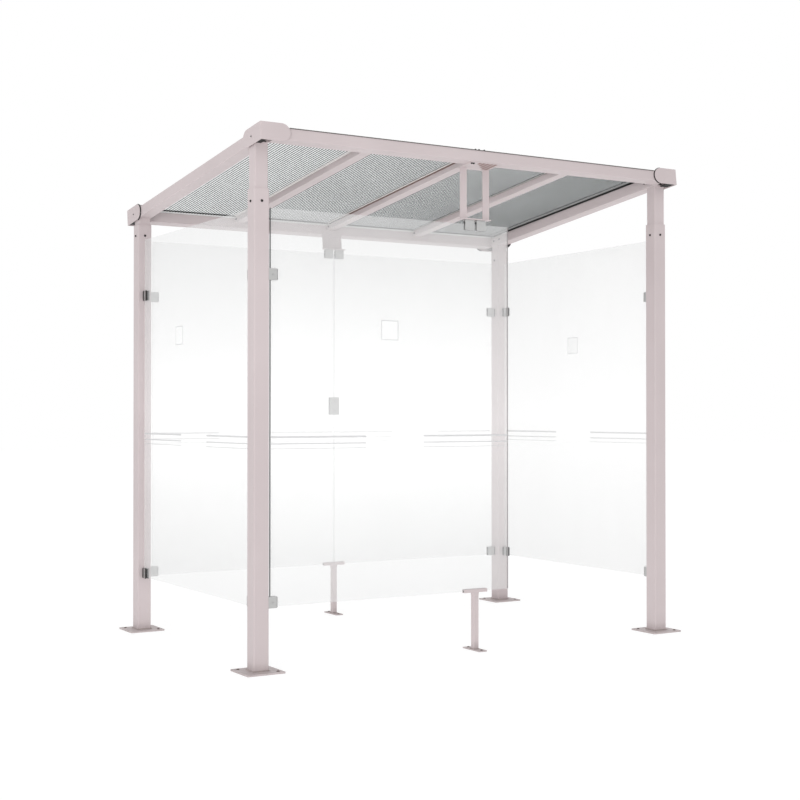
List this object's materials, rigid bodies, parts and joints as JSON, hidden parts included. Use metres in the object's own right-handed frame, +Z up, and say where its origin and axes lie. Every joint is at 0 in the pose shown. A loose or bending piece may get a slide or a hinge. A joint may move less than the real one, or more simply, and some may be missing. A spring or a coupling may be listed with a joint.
{
  "type": "smoking shelter",
  "caption": "Open smoking shelter: square steel posts on base plates, a tilted roof of multiwall sheets, and clear glass screens held by clamps, with an open entrance at the front.",
  "frame": {"origin": "on the floor, midway between the four posts, which is also the middle of the bounding box's underside", "axes": "+X along the front to the right, +Y from the open front to the back, +Z up"},
  "size_m": [2.7, 1.8082, 2.6213],
  "materials": {
    "frame_paint": "satin light grey powder coat on steel tube",
    "corner_casting": "satin light grey powder coat on cast aluminium",
    "bracket_paint": "satin light grey powder coat on steel plate",
    "clamp_steel": "satin stainless steel",
    "black_rubber": "matt black rubber",
    "clear_glass": "clear toughened glass",
    "multiwall_sheet": "translucent ribbed twin-wall sheet",
    "trim_aluminium": "grey anodised aluminium"
  },
  "bodies": {
    "root": {"base_plate_front_left": "frame_paint", "base_plate_front_right": "frame_paint", "base_plate_rear_left": "frame_paint", "base_plate_rear_right": "frame_paint", "clamps_front_left": "clamp_steel", "clamps_front_right": "clamp_steel", "clamps_rear_left": "clamp_steel", "clamps_rear_right": "clamp_steel", "corner_front_left": "corner_casting", "corner_front_right": "corner_casting", "corner_rear_left": "corner_casting", "corner_rear_right": "corner_casting", "front_beam": "frame_paint", "front_hanger": "bracket_paint", "glass_back_left": "clear_glass", "glass_back_right": "clear_glass", "glass_front": "clear_glass", "glass_left": "clear_glass", "glass_pads": "black_rubber", "glass_right": "clear_glass", "hanger_clamps": "clamp_steel", "post_front_left": "frame_paint", "post_front_right": "frame_paint", "post_heads_front": "frame_paint", "post_heads_rear": "frame_paint", "post_rear_left": "frame_paint", "post_rear_right": "frame_paint", "rafter_1": "frame_paint", "rafter_2": "frame_paint", "rafter_3": "frame_paint", "rear_beam": "frame_paint", "rear_hanger": "bracket_paint", "roof_gaskets": "black_rubber", "roof_sheet_1": "multiwall_sheet", "roof_sheet_2": "multiwall_sheet", "roof_sheet_3": "multiwall_sheet", "roof_sheet_4": "multiwall_sheet", "seam_clamp": "clamp_steel", "sheet_cappings": "trim_aluminium", "sheet_end_profiles": "trim_aluminium", "side_rail_left": "frame_paint", "side_rail_right": "frame_paint", "stand_front": "bracket_paint", "stand_rear": "bracket_paint"}
  },
  "joints": []
}
